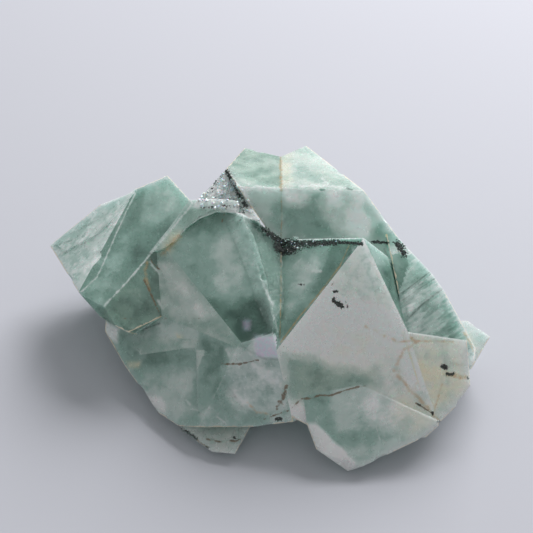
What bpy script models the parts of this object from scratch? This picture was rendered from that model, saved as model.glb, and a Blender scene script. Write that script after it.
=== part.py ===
import math
import random

import bmesh
import bpy
from mathutils import Euler, Matrix, Vector

# Fluorite specimen: parallel-grown octahedral crystals on a flat resting cut.
# X is the width seen from the front, Y runs to the back, Z is up.
# All sizes below are millimetres and degrees; the specimen is built in metres.

MM = 0.001
WIDTH = 51.5
DEPTH = 41.0
HEIGHT = 18.6
STOCK = 90.0

# A crystal is a centre and its faces.  A face is (bearing, tilt, reach):
# bearing 0 looks to the back and 90 to the right, tilt 90 looks straight up,
# reach is the distance of the face from the crystal's centre.

PYRAMID = {
    "centre": (12, -9, 5),
    "milky face": (175, 45, 4.8),
    "upper left face": (257, 54, 10.8),
    "right flank": (95.6, 37, 6.7),
    "lower right flank": (87, 23, 5.8),
    "inner right": (80, 0, 7.6),
    "back": (16, 20, 10.5),
    "left cliff": (263, -11, 9.6),
    "lower left cliff": (215, -35, 9.1),
    "right undercut": (119, -42, 8.4),
    "front undercut": (173, -46, 8.0),
}

FRONT_BLOCK = {
    "centre": (10, -16, 3),
    "front face": (176, 50, 1.8),
    "toe": (187, 24, 3.4),
    "left side": (274, -15, 4.6),
    "left undercut": (277, -35, 3.2),
    "toe left": (230, -38, 4.2),
    "toe right": (144, -46, 3.9),
    "right undercut": (122, -44, 4.9),
    "inner right": (21, 10, 3.1),
}

UPPER_RIGHT = {
    "centre": (7, 6, 8),
    "front face": (191, 46, 6.9),
    "crown": (354, 71, 9.1),
    "right side": (57, 16, 6.0),
    "right undercut": (57, -28, 5.5),
    "back side": (324, 26, 11.7),
    "back undercut": (324, -28, 11.5),
    "twin boundary": (270, 0, 5.0),
    "right end": (105, 0, 9.6),
    "inner front": (180, 0, 11.0),
}

UPPER_LEFT = {
    "centre": (0, 13, 9),
    "front face": (170, 46, 10.5),
    "crown": (17, 70, 5.8),
    "left side": (244, -24, 1.6),
    "back left": (295, 14, 4.7),
    "left undercut": (295, -28, 5.6),
    "back side": (20, 28, 4.5),
    "back undercut": (20, -28, 6.4),
    "twin boundary": (90, 0, 2.0),
}

DRUSE_BLOCK = {
    "centre": (-5, 7, 8),
    "druse face": (239, 70, 6.9),
    "right boundary": (63, 8, 3.3),
    "back side": (308, 14, 3.8),
    "back undercut": (308, -28, 4.2),
    "inner front": (192, 0, 3.0),
    "inner left": (270, 0, 3.3),
}

CENTRAL = {
    "centre": (-8, -6, 5),
    "great face": (216, 62, 5.0),
    "right bevel": (101, 55, 11.4),
    "lower face": (222, 45, 3.6),
    "side face": (223, 48, 3.7),
    "front face": (192, 42, 6.0),
    "back": (18, 12, 12.8),
    "back left": (307, 20, 10.2),
    "lower bevel": (108, 31, 11.85),
    "right cliff": (85, -5, 11.4),
    "left undercut": (245, -25, 8.3),
    "lower left undercut": (243, -42, 7.4),
    "front left undercut": (214, -45, 8.4),
    "front undercut": (177, -42, 9.1),
    "front right undercut": (169, -40, 9.9),
    "left end": (270, 6, 10.5),
}

LEFT = {
    "centre": (-14, 3, 7),
    "long face": (224, 73, 5.1),
    "broken face": (259, 64, 5.9),
    "shaded face": (161, 59, 5.5),
    "front band": (215, 30, 8.9),
    "back side": (344, -5, 6.5),
    "back undercut": (344, -35, 5.8),
    "back corner": (339, -2, 6.8),
    "right side": (54, 12, 8.3),
    "right undercut": (54, -25, 7.1),
    "left undercut": (236, -32, 6.3),
    "front undercut": (215, -35, 6.8),
    "inner right": (90, 0, 9.5),
    "inner front": (150, -20, 7.2),
}

RIGHT = {
    "centre": (18, -8.4, 7.4),
    "upper face": (209, 74, 5.2),
    "striped face": (177, 60, 3.4),
    "middle face": (163, 50, 2.8),
    "back side": (55, 10, 4.4),
    "right side": (55, 4, 3.8),
    "right undercut": (55, -28, 3.9),
    "inner left": (262, 0, 2.7),
    "inner front": (180, 0, 1.3),
}

RIGHT_FOOT = {
    "centre": (18, -8.4, 7.4),
    "stained face": (166, 46, 2.9),
    "right end": (75, -8, 3.7),
    "lower right": (111, -32, 5.9),
    "front undercut": (119, -42, 6.2),
    "inner left": (244, 0, 3.1),
    "inner back": (0, 0, -0.9),
    "inner front": (200, -20, 8.0),
}

SIDE_CRYSTAL = {
    "centre": (21, -7, 3),
    "top face": (172, 67, 3.6),
    "back side": (32, -4, 2.5),
    "right side": (118, -18, 2.7),
    "front side": (190, -30, 1.2),
    "inner left": (270, 0, 4.7),
    "inner back": (0, 0, 1.9),
}

FRONT_LOBE = {
    "centre": (-5, -13, 1),
    "top face": (202, 75, 1.5),
    "right side": (111, -30, 3.1),
    "front side": (185, -40, 4.1),
    "left side": (219, -40, 3.5),
    "left end": (260, -30, 3.8),
    "inner back": (0, 0, 5.8),
}

HEART = {
    "centre": (0, -6, 4),
    "top": (0, 90, 4.2),
    "front left": (222, 45, 6.9),
    "front right": (176, 50, 5.7),
    "right end": (90, 0, 13.5),
    "left end": (270, 0, 13.0),
    "back": (0, 0, 12.0),
    "back right undercut": (57, -28, 12.6),
    "back left undercut": (308, -28, 11.4),
    "left back undercut": (344, -35, 12.6),
    "left undercut": (243, -42, 10.4),
    "front left undercut": (214, -45, 9.4),
    "front undercut": (175, -42, 6.4),
}

CRYSTALS = (CENTRAL, PYRAMID, HEART, UPPER_RIGHT, UPPER_LEFT, DRUSE_BLOCK, LEFT,
            RIGHT, RIGHT_FOOT, FRONT_BLOCK, SIDE_CRYSTAL, FRONT_LOBE)

# Growth and cleavage ledges: flat plates on one face, each sinking into it toward one side.
# (crystal, face, outline seen from above, rise of its first corner, bearing it sinks toward, slope)

LEDGES = (
    (CENTRAL, "great face", ((-11.6, 1.3), (-10.1, 1.9), (-8.9, 3.0), (-7.3, 3.8), (-5.4, 4.1), (-3.1, 3.5),
                             (-3.0, 4.8), (-5.4, 5.6), (-8.6, 6.2), (-10.8, 3.6), (-13.1, 1.2)), 0.26, 330, 0.11),
    (CENTRAL, "great face", ((-4.3, 3.0), (-2.9, -0.4), (-1.6, -3.9), (0.0, -8.6), (1.0, -9.4), (0.2, -4.0),
                             (-1.2, 0.8), (-2.8, 3.3)), 0.09, 75, 0.04),
    (CENTRAL, "lower face", ((-14.0, -7.8), (-7.6, -9.1), (-7.0, -7.2), (-11.4, -6.0), (-15.0, -6.8)), 0.16, 20, 0.10),
    (CENTRAL, "lower face", ((-7.5, -9.4), (-7.3, -15.0), (-5.0, -14.6), (-4.6, -12.6), (-5.0, -10.2)), 0.13, 90, 0.07),
    (LEFT, "broken face", ((-17.2, 6.9), (-19.8, 4.9), (-23.5, 4.0), (-25.3, 6.0), (-19.6, 9.4), (-15.3, 9.5)), 0.22, 330, 0.04),
    (FRONT_LOBE, "top face", ((-6.6, -16.7), (-4.7, -17.3), (-2.9, -17.1), (-2.8, -15.6), (-6.6, -15.6)), 0.20, 0, 0.10),
    (RIGHT, "striped face", ((15.5, -6.3), (19.0, -4.0), (18.3, -3.3), (15.4, -5.4)), 0.12, 350, 0.09),
    (RIGHT, "striped face", ((15.9, -7.5), (19.5, -5.0), (19.2, -4.5), (15.6, -6.7)), 0.14, 350, 0.09),
)

# Layered sides: rows of thin plates.  (crystal, face, row start, row end, plates, plate width, rise)

STEP_ROWS = (
    (UPPER_RIGHT, "right side", (9.8, 7.4, 12.0), (14.2, 0.6, 11.8), 5, 1.6, 0.25),
    (UPPER_LEFT, "back side", (-3.0, 13.6, 11.4), (0.6, 14.6, 11.0), 3, 1.5, 0.22),
    (LEFT, "back side", (-22.0, 6.4, 8.4), (-15.6, 8.9, 9.4), 5, 1.4, 0.25),
    (RIGHT, "right side", (19.8, -4.6, 9.8), (22.4, -7.8, 8.0), 3, 1.2, 0.20),
)

# Patches of small crystals: (crystal, face, corners of the patch, count, size range)

DRUSE_PATCHES = (
    (DRUSE_BLOCK, "druse face", ((-7.6, 6.6), (-4.6, 10.2), (-2.6, 5.6), (-5.6, 5.4)), 26, (0.5, 1.0)),
    (CENTRAL, "right bevel", ((-0.8, 3.4), (0.9, 2.6), (1.2, 1.6), (-0.4, 1.9)), 7, (0.45, 0.8)),
    (PYRAMID, "upper left face", ((1.8, 1.9), (4.0, 1.9), (4.0, 0.9), (2.0, 0.7)), 9, (0.4, 0.7)),
    (UPPER_RIGHT, "front face", ((4.4, 1.4), (9.0, 1.9), (9.0, 1.5), (4.4, 1.0)), 8, (0.35, 0.55)),
)

# Shallow shell-shaped breaks: (crystal, face, middle, radius, depth)

BREAKS = (
    (CENTRAL, "front face", (-1.2, -12.4, 8.5), 2.4, 0.30),
    (CENTRAL, "front face", (0.8, -13.8, 7.2), 2.0, 0.26),
    (CENTRAL, "front face", (-2.8, -14.0, 6.6), 2.2, 0.24),
    (CENTRAL, "lower face", (-13.4, -11.6, 2.3), 1.6, 0.22),
    (LEFT, "broken face", (-21.2, 3.4, 10.2), 2.4, 0.22),
    (LEFT, "broken face", (-19.4, 5.6, 11.8), 1.9, 0.20),
    (LEFT, "broken face", (-19.6, 1.6, 10.6), 1.8, 0.18),
    (FRONT_BLOCK, "toe", (9.0, -20.2, 1.4), 1.2, 0.16),
    (UPPER_RIGHT, "right side", (11.5, 5.0, 9.6), 2.2, 0.28),
    (LEFT, "back side", (-18.4, 7.6, 7.6), 2.4, 0.32),
    (RIGHT, "back side", (17.8, -1.2, 10.6), 1.9, 0.28),
)

# Small shells broken out of sharp edges: (crystal, its two faces, place, radius, depth)

NICKS = (
    (LEFT, "long face", "back side", (-16.4, 9.2, 13.4), 0.8, 0.22),
    (LEFT, "long face", "back corner", (-11.6, 10.6, 14.6), 0.6, 0.18),
    (LEFT, "broken face", "left undercut", (-23.2, -0.6, 8.0), 0.9, 0.25),
    (UPPER_LEFT, "crown", "back side", (-1.6, 13.6, 14.4), 0.7, 0.20),
    (UPPER_RIGHT, "crown", "right side", (9.4, 10.0, 14.6), 0.9, 0.22),
    (UPPER_RIGHT, "front face", "right side", (13.6, 3.4, 15.6), 0.8, 0.20),
    (UPPER_RIGHT, "front face", "crown", (6.6, 7.4, 17.6), 0.7, 0.12),
    (RIGHT, "middle face", "right side", (21.4, -6.4, 10.6), 0.6, 0.18),
    (RIGHT_FOOT, "stained face", "lower right", (21.4, -13.6, 4.6), 0.8, 0.22),
    (PYRAMID, "milky face", "upper left face", (7.0, -4.6, 14.6), 0.7, 0.10),
    (PYRAMID, "milky face", "upper left face", (3.4, -9.4, 11.8), 0.5, 0.10),
    (FRONT_BLOCK, "front face", "toe right", (12.6, -19.4, 2.4), 0.9, 0.22),
    (FRONT_BLOCK, "front face", "left side", (4.2, -16.4, 5.2), 0.6, 0.16),
    (CENTRAL, "great face", "right bevel", (-0.6, -3.8, 14.0), 0.6, 0.10),
    (CENTRAL, "lower face", "lower left undercut", (-14.6, -11.4, 2.2), 1.0, 0.26),
    (CENTRAL, "front face", "front right undercut", (0.4, -15.9, 4.4), 0.7, 0.20),
    (SIDE_CRYSTAL, "top face", "back side", (24.8, -4.8, 7.0), 0.5, 0.14),
)


def facing(bearing, tilt):
    across = math.cos(math.radians(tilt))
    turn = math.radians(bearing)
    return Vector((math.sin(turn) * across, math.cos(turn) * across, math.sin(math.radians(tilt))))


def new_object(name, bm):
    mesh = bpy.data.meshes.new(name)
    bmesh.ops.recalc_face_normals(bm, faces=bm.faces[:])
    bmesh.ops.triangulate(bm, faces=bm.faces[:])
    bm.to_mesh(mesh)
    bm.free()
    item = bpy.data.objects.new(name, mesh)
    bpy.context.scene.collection.objects.link(item)
    return item


def cut_away(bm, point, normal):
    geometry = bm.verts[:] + bm.edges[:] + bm.faces[:]
    bmesh.ops.bisect_plane(bm, geom=geometry, plane_co=point, plane_no=normal, clear_outer=True, dist=1e-9)
    rim = [edge for edge in bm.edges if edge.is_boundary]
    if rim:
        bmesh.ops.contextual_create(bm, geom=rim)


def grow_crystal(name, habit):
    bm = bmesh.new()
    bmesh.ops.create_cube(bm, size=STOCK * MM)
    centre = Vector(habit["centre"]) * MM
    for face, setting in habit.items():
        if face == "centre":
            continue
        bearing, tilt, reach = setting
        normal = facing(bearing, tilt)
        cut_away(bm, centre + normal * reach * MM, normal)
    cut_away(bm, Vector((0, 0, 0)), Vector((0, 0, -1)))
    return new_object(name, bm)


def tidy(mesh):
    bm = bmesh.new()
    bm.from_mesh(mesh)
    bmesh.ops.remove_doubles(bm, verts=bm.verts[:], dist=0.001 * MM)
    bmesh.ops.dissolve_degenerate(bm, edges=bm.edges[:], dist=0.0005 * MM)
    bmesh.ops.dissolve_limit(bm, angle_limit=math.radians(0.1), verts=bm.verts[:], edges=bm.edges[:])
    bmesh.ops.triangulate(bm, faces=bm.faces[:])
    bmesh.ops.recalc_face_normals(bm, faces=bm.faces[:])
    bm.to_mesh(mesh)
    bm.free()


def combine(target, tool, how):
    step = target.modifiers.new("Combine", "BOOLEAN")
    step.operation = how
    step.solver = "EXACT"
    step.object = tool
    graph = bpy.context.evaluated_depsgraph_get()
    mesh = bpy.data.meshes.new_from_object(target.evaluated_get(graph))
    target.modifiers.remove(step)
    tidy(mesh)
    target.data = mesh
    bpy.data.objects.remove(tool)


def face_frame(habit, face):
    bearing, tilt, reach = habit[face]
    normal = facing(bearing, tilt)
    origin = Vector(habit["centre"]) * MM + normal * reach * MM
    return origin, normal


def drop_on(habit, face, x, y):
    origin, normal = face_frame(habit, face)
    z = origin.z - (normal.x * (x * MM - origin.x) + normal.y * (y * MM - origin.y)) / normal.z
    return Vector((x * MM, y * MM, z))


def press_on(habit, face, point):
    origin, normal = face_frame(habit, face)
    spot = Vector(point) * MM
    return spot - normal * (spot - origin).dot(normal)


def slab(name, middle, along, normal, length, width, rise, root):
    side = normal.cross(along).normalized()
    bm = bmesh.new()
    bmesh.ops.create_cube(bm, size=1.0)
    scale = Matrix.Diagonal((length, width, rise + root, 1))
    turn = Matrix((along, side, normal)).transposed().to_4x4()
    place = Matrix.Translation(middle + normal * (rise - root) / 2)
    bm.transform(place @ turn @ scale)
    return new_object(name, bm)


def add_step_row(specimen, row, dice):
    habit, face, start, end, count, width, rise = row
    normal = face_frame(habit, face)[1]
    first = press_on(habit, face, start)
    last = press_on(habit, face, end)
    along = (last - first).normalized()
    pitch = (last - first).length / count
    lean = math.atan2(rise, width)
    for index in range(count):
        turn = Matrix.Rotation(math.radians(dice.choice((-12, -5, 4, 10))), 3, normal)
        run = turn @ along
        upright = Matrix.Rotation(lean * dice.uniform(0.8, 1.1), 3, run) @ normal
        middle = first + along * pitch * (index + 0.5) + normal.cross(along) * dice.uniform(-0.2, 0.2) * width * MM
        height = rise * dice.uniform(0.35, 0.55) * MM
        plate = slab("step", middle, run, upright, pitch * 1.3, width * 1.6 * MM, height, 1.2 * MM)
        combine(specimen, plate, "UNION")


def add_ledge(specimen, ledge):
    habit, face, outline, rise, bearing, slope = ledge
    normal = face_frame(habit, face)[1]
    sinking = facing(bearing, 0)
    spots = [drop_on(habit, face, x, y) for x, y in outline]
    bm = bmesh.new()
    low = [bm.verts.new(spot - normal * 0.9 * MM) for spot in spots]
    high = [bm.verts.new(spot + normal * (rise * MM - slope * (spot - spots[0]).dot(sinking))) for spot in spots]
    bm.faces.new(low)
    bm.faces.new(high)
    for index in range(len(spots)):
        bm.faces.new((low[index - 1], low[index], high[index], high[index - 1]))
    combine(specimen, new_object("ledge", bm), "UNION")


def small_octahedron(middle, size, dice):
    bm = bmesh.new()
    bmesh.ops.create_cone(bm, cap_ends=False, segments=4, radius1=size, radius2=0, depth=size)
    bmesh.ops.translate(bm, verts=bm.verts[:], vec=(0, 0, size / 2))
    rim = [edge for edge in bm.edges if edge.is_boundary]
    below = bmesh.ops.extrude_edge_only(bm, edges=rim)
    low = [item for item in below["geom"] if isinstance(item, bmesh.types.BMVert)]
    bmesh.ops.pointmerge(bm, verts=low, merge_co=(0, 0, -size))
    lean = Euler((dice.uniform(-0.5, 0.5), dice.uniform(-0.5, 0.5), dice.uniform(0, 1.5)))
    bm.transform(Matrix.Translation(middle) @ lean.to_matrix().to_4x4())
    return new_object("small crystal", bm)


def inside(corners, x, y):
    odd = False
    for index, (x1, y1) in enumerate(corners):
        x0, y0 = corners[index - 1]
        if (y0 > y) != (y1 > y) and x < (x1 - x0) * (y - y0) / (y1 - y0) + x0:
            odd = not odd
    return odd


def add_druse(specimen, patch, dice):
    habit, face, corners, count, sizes = patch
    low_x = min(corner[0] for corner in corners)
    high_x = max(corner[0] for corner in corners)
    low_y = min(corner[1] for corner in corners)
    high_y = max(corner[1] for corner in corners)
    placed = 0
    while placed < count:
        x = dice.uniform(low_x, high_x)
        y = dice.uniform(low_y, high_y)
        if not inside(corners, x, y):
            continue
        size = dice.uniform(*sizes) * MM
        middle = drop_on(habit, face, x, y) - face_frame(habit, face)[1] * size * 0.42
        combine(specimen, small_octahedron(middle, size, dice), "UNION")
        placed += 1


def scoop(specimen, middle, normal, radius, depth, dice):
    ball = (radius * radius + depth * depth) / (2 * depth)
    bm = bmesh.new()
    bmesh.ops.create_icosphere(bm, subdivisions=3, radius=ball * MM)
    turn = Euler((dice.uniform(0, 3), dice.uniform(0, 3), dice.uniform(0, 3)))
    bm.transform(turn.to_matrix().to_4x4())
    bm.transform(Matrix.Translation(middle + normal * (ball - depth) * MM))
    combine(specimen, new_object("scoop", bm), "DIFFERENCE")


def break_shell(specimen, spot, dice):
    habit, face, point, radius, depth = spot
    normal = face_frame(habit, face)[1]
    scoop(specimen, press_on(habit, face, point), normal, radius, depth, dice)


def nick_edge(specimen, nick, dice):
    habit, face, other, point, radius, depth = nick
    normal = face_frame(habit, face)[1]
    second_origin, second = face_frame(habit, other)
    spot = Vector(point) * MM
    along = normal.cross(second).normalized()
    on_edge = normal.cross(along)
    line_start = press_on(habit, face, point)
    length = (second_origin - line_start).dot(second) / on_edge.dot(second)
    middle = line_start + on_edge * length
    middle += along * (spot - middle).dot(along)
    scoop(specimen, middle, (normal + second).normalized(), radius, depth, dice)


def fluorite():
    stone = bpy.data.materials.new("fluorite")
    stone.use_nodes = True
    shader = stone.node_tree.nodes["Principled BSDF"]
    shader.inputs["Base Color"].default_value = (0.42, 0.56, 0.50, 1.0)
    shader.inputs["Roughness"].default_value = 0.22
    shader.inputs["IOR"].default_value = 1.434
    return stone


for leftover in list(bpy.data.objects):
    bpy.data.objects.remove(leftover)

dice = random.Random(2762)
specimen = grow_crystal("fluorite_cluster", CRYSTALS[0])
for habit in CRYSTALS[1:]:
    combine(specimen, grow_crystal("crystal", habit), "UNION")
for spot in BREAKS:
    break_shell(specimen, spot, dice)
for ledge in LEDGES:
    add_ledge(specimen, ledge)
for row in STEP_ROWS:
    add_step_row(specimen, row, dice)
for patch in DRUSE_PATCHES:
    add_druse(specimen, patch, dice)
for nick in NICKS:
    nick_edge(specimen, nick, dice)
specimen.data.materials.clear()
specimen.data.materials.append(fluorite())
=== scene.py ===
import bmesh
import bpy
import math
import numpy as np
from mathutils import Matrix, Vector
from mathutils.bvhtree import BVHTree
from mathutils.kdtree import KDTree


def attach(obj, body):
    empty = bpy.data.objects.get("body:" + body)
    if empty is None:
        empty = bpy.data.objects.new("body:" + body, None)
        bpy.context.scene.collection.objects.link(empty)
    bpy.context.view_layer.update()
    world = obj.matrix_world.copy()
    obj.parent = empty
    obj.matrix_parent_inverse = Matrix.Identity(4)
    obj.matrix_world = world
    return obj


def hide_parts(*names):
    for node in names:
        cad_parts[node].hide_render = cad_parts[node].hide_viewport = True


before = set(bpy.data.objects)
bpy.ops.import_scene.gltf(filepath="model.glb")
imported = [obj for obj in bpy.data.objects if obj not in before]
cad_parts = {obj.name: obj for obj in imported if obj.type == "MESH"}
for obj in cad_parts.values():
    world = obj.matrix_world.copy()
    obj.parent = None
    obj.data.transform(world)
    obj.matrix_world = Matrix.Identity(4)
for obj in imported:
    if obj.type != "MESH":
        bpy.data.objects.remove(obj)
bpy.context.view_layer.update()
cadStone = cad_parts["fluorite_cluster"]
mm = 0.001

camera = {
    "framePixels": 533,
    "focalPixels": 1104,
    "place": (0.28, -81.44, 108.24),    # mm
    "lookDown": 50,                     # degrees above the floor
    "mmPerPixel": 0.128,                # on the stone
}

lens = bpy.data.cameras.new("camera")
lens.sensor_width = 36
lens.lens = camera["focalPixels"] / camera["framePixels"] * lens.sensor_width
lens.clip_start = 0.001
eye = bpy.data.objects.new("camera", lens)
eye.location = Vector(camera["place"]) * mm
eye.rotation_euler = (math.radians(90 - camera["lookDown"]), 0, 0)
bpy.context.scene.collection.objects.link(eye)
bpy.context.scene.camera = eye
bpy.context.view_layer.update()
print("camera placed")

# places on the stone are given as pixels of the photograph
surface = BVHTree.FromObject(cadStone, bpy.context.evaluated_depsgraph_get())


def seen(u, v):    # where the view through a pixel meets the stone
    half = camera["framePixels"] / 2
    ray = eye.matrix_world.to_3x3() @ Vector((u - half, half - v, -camera["focalPixels"])).normalized()
    hit, normal, _, _ = surface.ray_cast(eye.matrix_world.translation, ray)
    return hit, normal


def toPhoto(points):    # the pixels at which points in mm are seen
    local = (points * mm - np.array(eye.matrix_world.translation)) @ np.array(eye.matrix_world.to_3x3())
    half = camera["framePixels"] / 2
    ahead = -local[:, 2] / camera["focalPixels"]
    return np.stack((half + local[:, 0] / ahead, half - local[:, 1] / ahead), axis=1)


def smooth(low, high, x):
    t = np.clip((x - low) / (high - low), 0, 1)
    return t * t * (3 - 2 * t)


def awayFromLine(points, line, reach):    # distance to a line; 99 beyond the reach
    line = np.array(line, dtype=float)
    best = np.full(len(points), 99.0)
    inside = ((points > line.min(0) - reach) & (points < line.max(0) + reach)).all(1)
    close = points[inside]
    found = best[inside]
    for a, b in zip(line, line[1:]):
        ab = b - a
        t = np.clip((close - a) @ ab / max(ab @ ab, 1e-9), 0, 1)
        found = np.minimum(found, np.linalg.norm(close - a - t[:, None] * ab, axis=1))
    best[inside] = found
    return best


def awayFromRim(points, outline, reach):    # distance to an outline, minus inside it
    outline = np.array(outline, dtype=float)
    closed = np.vstack((outline, outline[:1]))
    best = awayFromLine(points, closed, reach)
    odd = np.zeros(len(points), bool)
    for (x0, y0), (x1, y1) in zip(closed, closed[1:]):
        rise = y1 - y0 if abs(y1 - y0) > 1e-9 else 1e-9
        crosses = (y0 > points[:, 1]) != (y1 > points[:, 1])
        odd ^= crosses & (points[:, 0] < (x1 - x0) * (points[:, 1] - y0) / rise + x0)
    return np.where(odd, -best, best)


# the stone: a finely divided copy of the solid that carries its colours and markings
stone = {
    "mergeGap": 0.00002,    # mm
    "flatTurn": (0.2, 0.5), # degrees; faces that turn less are one, for the mesh and for finding its edges
    "topEdge": 0.56,        # mm, longest edge on the sides that are seen
    "baseEdge": 1.2,        # mm, underneath
    "fineEdge": (0.15, 0.4),    # mm, along the thinnest strokes and the widest
    "fineBeside": 0.15,     # mm, how far beside a stroke its short edges reach
    "mainEdge": (1.6, 16),  # an edge that gets a painted highlight: longer than this in mm, sharper than this in degrees
    "broad": 4.0,           # mm2, the smaller of the two faces beside such an edge
    "rimSlope": 0.32,       # an edge is of the rim where a face beside it looks up less than this
    "highlightWidth": 0.5,       # mm, width of the painted highlight along the main edges
    "sameFace": (9, 0.8),   # degrees and mm by which a triangle of a large face may differ from it
    "borrow": 2.2,          # mm, how near a large face must be for a small one to take its colour
    "otherTone": 0.0,       # a face that the photograph doesn't show
    "otherFrost": 0.15,
}

# each large face: the pixel where it is seen, its tone (-1 dark green, 1 white), frost and warmth; the tone
# is partly the stone's own milky and green zoning, partly painted light and shade, brighter or darker by
# how each face is lit
facets = {
    "broken": ((82, 258), 0.3, 0.45, 0.0),
    "long": ((150, 235), -0.3, 0.1, 0.0),
    "shaded": ((125, 300), -0.52, 0.1, 0.05),
    "band": ((176, 228), 0.05, 0.1, 0.05),
    "great": ((215, 262), -0.06, 0.0, 0.0),
    "side": ((172, 300), 0.08, 0.1, 0.05),
    "lower": ((165, 360), 0.1, 0.1, 0.0),
    "heel": ((270, 348), 0.0, 0.25, 0.0),
    "strip": ((270, 262), -0.42, 0.1, 0.0),
    "druse": ((215, 196), 0.5, 1.0, 0.0),
    "crownLeft": ((262, 165), -0.2, 0.1, 0.1),
    "crownRight": ((305, 168), 0.2, 0.25, 0.1),
    "upperLeft": ((262, 205), 0.3, 0.0, 0.0),
    "upperRight": ((320, 215), 0.36, 0.0, 0.0),
    "inner": ((305, 275), -0.34, 0.0, 0.0),
    "white": ((340, 325), 0.75, 0.15, 0.12),
    "flank": ((388, 275), -0.22, 0.0, 0.0),
    "striped": ((420, 292), 0.15, 0.2, 0.0),
    "middle": ((435, 322), 0.15, 0.1, 0.0),
    "stained": ((435, 372), 0.62, 0.2, 0.3),
    "small": ((478, 342), 0.48, 0.2, 0.0),
    "front": ((350, 425), 0.38, 0.1, 0.0),
    "lobe": ((225, 441), 0.42, 0.2, 0.1),
}
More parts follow.
